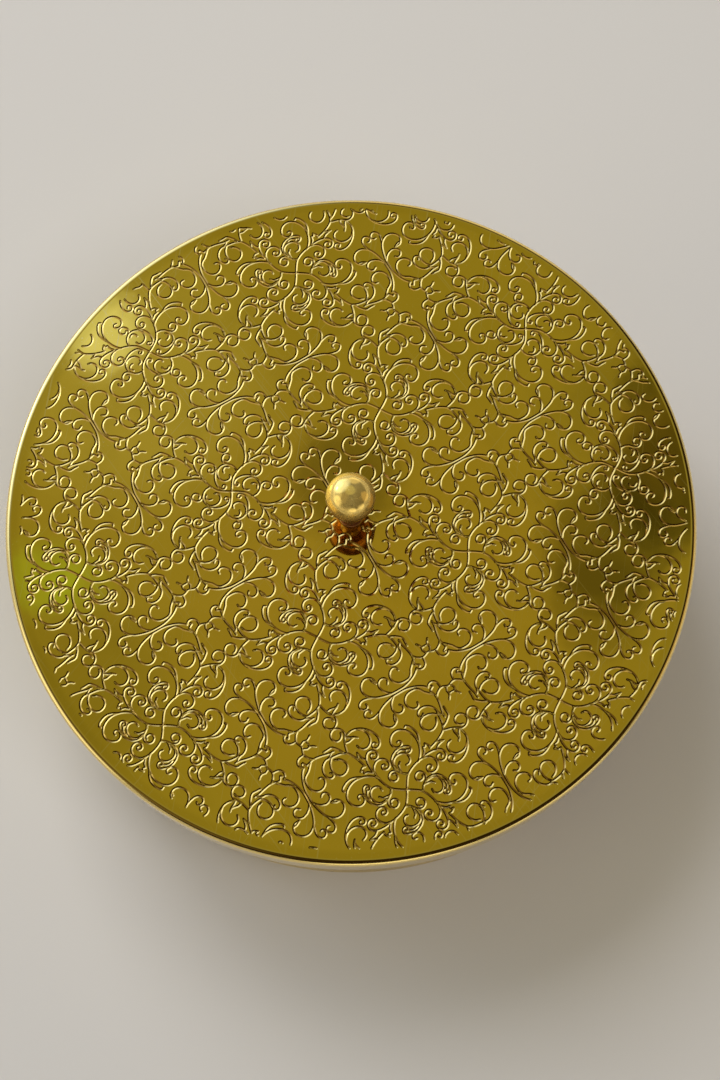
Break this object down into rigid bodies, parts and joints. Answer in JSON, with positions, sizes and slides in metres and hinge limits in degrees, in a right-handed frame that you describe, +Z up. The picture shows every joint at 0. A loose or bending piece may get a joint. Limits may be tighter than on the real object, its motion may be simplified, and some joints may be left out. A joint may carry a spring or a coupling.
{
  "type": "chapati box",
  "caption": "Round low metal box for flat breads, with a flat engraved lift-off lid, a ball knob and a perforated steam plate inside.",
  "frame": {"origin": "middle of the base, on the surface that the box stands on", "axes": "+Z up along the axis of the round box and its knob"},
  "size_m": [0.25, 0.25, 0.115],
  "materials": {
    "lid_brass": "polished, engraved",
    "pan_brass": "satin outside, tinned inside",
    "knob_brass": "polished",
    "fastener_steel": "plain",
    "plate_steel": "satin"
  },
  "bodies": {
    "box": {"body_pan": "pan_brass"},
    "lid": {"lid_pan": "lid_brass", "knob_stem": "knob_brass", "knob_ball": "knob_brass", "knob_screw": "fastener_steel", "flat_washer": "fastener_steel", "spring_washer": "fastener_steel"},
    "plate": {"steam_plate": "plate_steel"}
  },
  "joints": [
    {"name": "lid_lift", "type": "slide", "parent": "box", "child": "lid", "axis": [0, 0, 1], "range_m": [0, 0.18]},
    {"name": "plate_lift", "type": "slide", "parent": "box", "child": "plate", "axis": [0, 0, 1], "range_m": [0, 0.09]}
  ],
  "couplings": [
    {"joint": "plate_lift", "follows": "lid_lift", "ratio": 0.5}
  ]
}
